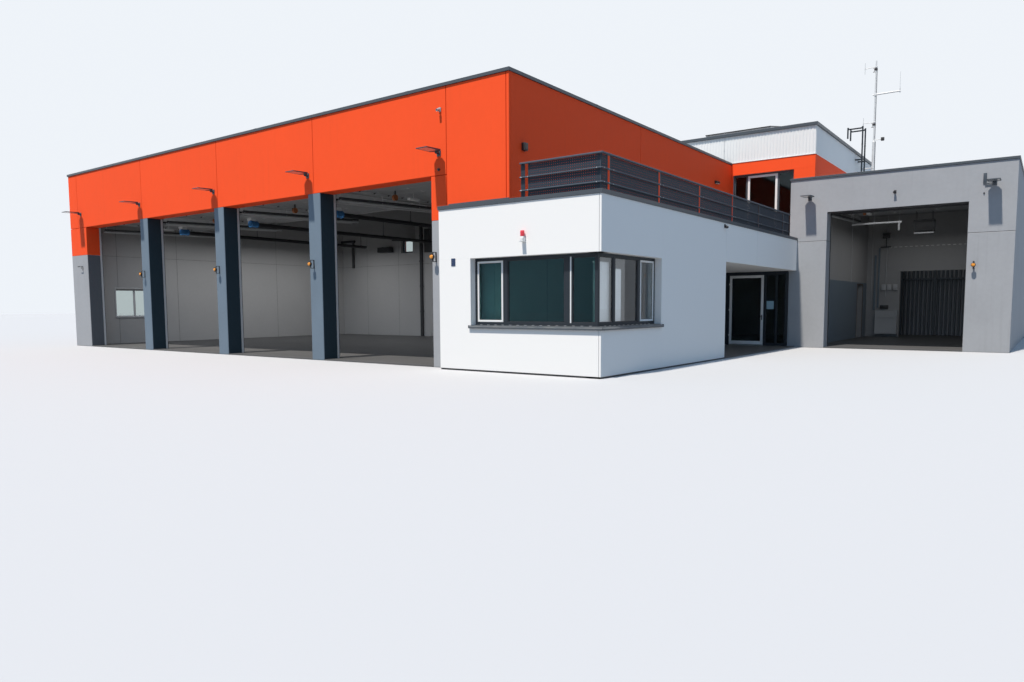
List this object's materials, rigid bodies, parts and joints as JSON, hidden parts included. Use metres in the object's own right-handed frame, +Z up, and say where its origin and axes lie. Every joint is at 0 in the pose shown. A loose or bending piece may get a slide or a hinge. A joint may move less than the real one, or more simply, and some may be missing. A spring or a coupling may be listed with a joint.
{
  "type": "fire station building",
  "caption": "Fire station with an open vehicle hall, corner-window annex, roof terrace, rear block and wash bay.",
  "frame": {"origin": "centre of the footprint's bounding box, on the ground", "axes": "+X to the right along the fronts, +Y into the depth, +Z up"},
  "size_m": [29.71, 26.47, 11.35],
  "materials": {
    "orange_panel": "matt facade panel",
    "concrete_grey": "painted concrete",
    "column_slate": "painted slate concrete",
    "white_render": "smooth render",
    "floor_concrete": "smooth concrete",
    "dark_metal": "powder coated",
    "white_metal": "coated sheet",
    "door_aluminium": "satin",
    "steel": "galvanised",
    "glass": "clear",
    "gate_panel": "coated sheet",
    "blue_paint": "gloss",
    "black_metal": "satin",
    "amber": "translucent",
    "red_plastic": "translucent",
    "solar": "glazed",
    "roof_membrane": "matt"
  },
  "bodies": {
    "building": {"alarm_light": "red_plastic", "annex_front_wall": "white_render", "annex_rear_wall": "white_render", "annex_side_wall": "white_render", "antenna_mast": "steel", "block_front_wall": "concrete_grey", "block_left_wall": "concrete_grey", "block_orange_cladding": "orange_panel", "block_rear_wall": "concrete_grey", "block_right_wall": "concrete_grey", "block_roof": "dark_metal", "block_white_cladding": "white_metal", "corner_window_frame": "dark_metal", "corner_window_glass": "glass", "corner_window_sashes": "white_metal", "entrance_canopy": "white_render", "entrance_frame": "dark_metal", "exhaust_rail_ends": "blue_paint", "exhaust_rails": "black_metal", "fascia_beam": "concrete_grey", "fascia_cladding": "orange_panel", "flat_roofs": "roof_membrane", "floodlights": "dark_metal", "floor_slabs": "floor_concrete", "gate_beacon_brackets": "black_metal", "gate_beacon_lenses": "amber", "gate_column_1": "column_slate", "gate_column_2": "column_slate", "gate_column_3": "column_slate", "gate_tracks": "steel", "hall_back_wall": "concrete_grey", "hall_coping": "dark_metal", "hall_end_piers": "concrete_grey", "hall_left_wall": "concrete_grey", "hall_right_wall": "concrete_grey", "hall_side_cladding": "orange_panel", "railing_front": "dark_metal", "railing_side": "dark_metal", "raised_gates": "gate_panel", "roof_girders": "concrete_grey", "solar_panels": "solar", "store_walls": "concrete_grey", "terrace_coping": "dark_metal", "terrace_deck": "concrete_grey", "terrace_door_frame": "dark_metal", "terrace_door_sash": "white_metal", "upper_floor": "concrete_grey", "vent_pipes": "dark_metal", "wash_coping": "dark_metal", "wash_front": "concrete_grey", "wash_partition": "concrete_grey", "wash_right_wall": "concrete_grey", "window_frames": "dark_metal", "window_glass": "glass", "window_sill": "dark_metal"},
    "entrance_door": {"entrance_door_leaf": "door_aluminium", "entrance_door_glass": "glass", "entrance_door_handle": "steel"}
  },
  "joints": [
    {"name": "entrance_door_hinge", "type": "hinge", "parent": "building", "child": "entrance_door", "pos_m": [6.425, 0.295, 0], "axis": [0, 0, -1], "range_deg": [0, 90]}
  ]
}
